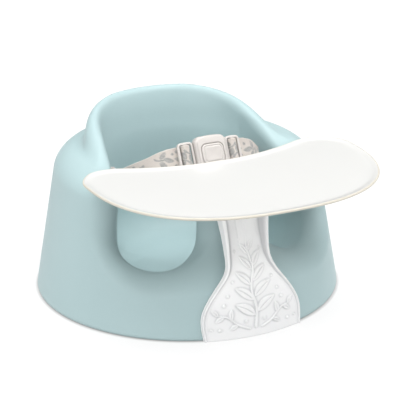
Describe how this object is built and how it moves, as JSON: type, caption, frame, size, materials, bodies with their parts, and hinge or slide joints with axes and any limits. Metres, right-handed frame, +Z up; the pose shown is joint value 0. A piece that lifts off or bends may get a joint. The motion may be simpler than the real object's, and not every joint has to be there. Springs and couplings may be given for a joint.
{
  "type": "baby floor seat",
  "caption": "Moulded foam floor seat for a baby, with a deep bowl, two leg openings, a lap belt with a push-button buckle and a slide-on play tray.",
  "frame": {"origin": "centre of the round base, on the floor", "axes": "+Z up, -Y to the front, where the tray and the leg openings are, +X to the right as seen from the front"},
  "size_m": [0.3766, 0.4624, 0.2194],
  "materials": {
    "foam": "satin",
    "cream_plastic": "satin",
    "white_plastic": "gloss",
    "webbing": "matte",
    "steel": "satin"
  },
  "bodies": {
    "seat": {"seat_body": "foam", "anchor_left": "cream_plastic", "anchor_right": "cream_plastic", "anchor_floor": "cream_plastic", "anchor_screws": "steel", "waist_strap_left": "webbing", "waist_strap_right": "webbing", "crotch_strap": "webbing", "buckle_front": "cream_plastic", "buckle_back": "cream_plastic", "buckle_screws": "steel", "button_spring": "steel"},
    "button": {"release_button": "cream_plastic"},
    "latch_left": {"latch_left": "cream_plastic"},
    "latch_right": {"latch_right": "cream_plastic"},
    "tray": {"tray_top": "white_plastic", "tray_stem": "white_plastic", "stem_plate": "white_plastic", "tray_screws": "steel"}
  },
  "joints": [
    {"name": "button_press", "type": "slide", "parent": "seat", "child": "button", "axis": [0, 0.8988, -0.4384], "range_m": [0, 0.003], "stiffness_N_per_m": 600, "deforming": ["button_spring"]},
    {"name": "latch_left_slide", "type": "slide", "parent": "seat", "child": "latch_left", "axis": [-1, 0, 0], "range_m": [0, 0.025], "deforming": ["waist_strap_left"]},
    {"name": "latch_right_slide", "type": "slide", "parent": "seat", "child": "latch_right", "axis": [1, 0, 0], "range_m": [0, 0.025], "deforming": ["waist_strap_right"]},
    {"name": "tray_slide", "type": "slide", "parent": "seat", "child": "tray", "axis": [0, -1, 0], "range_m": [0, 0.13]}
  ]
}
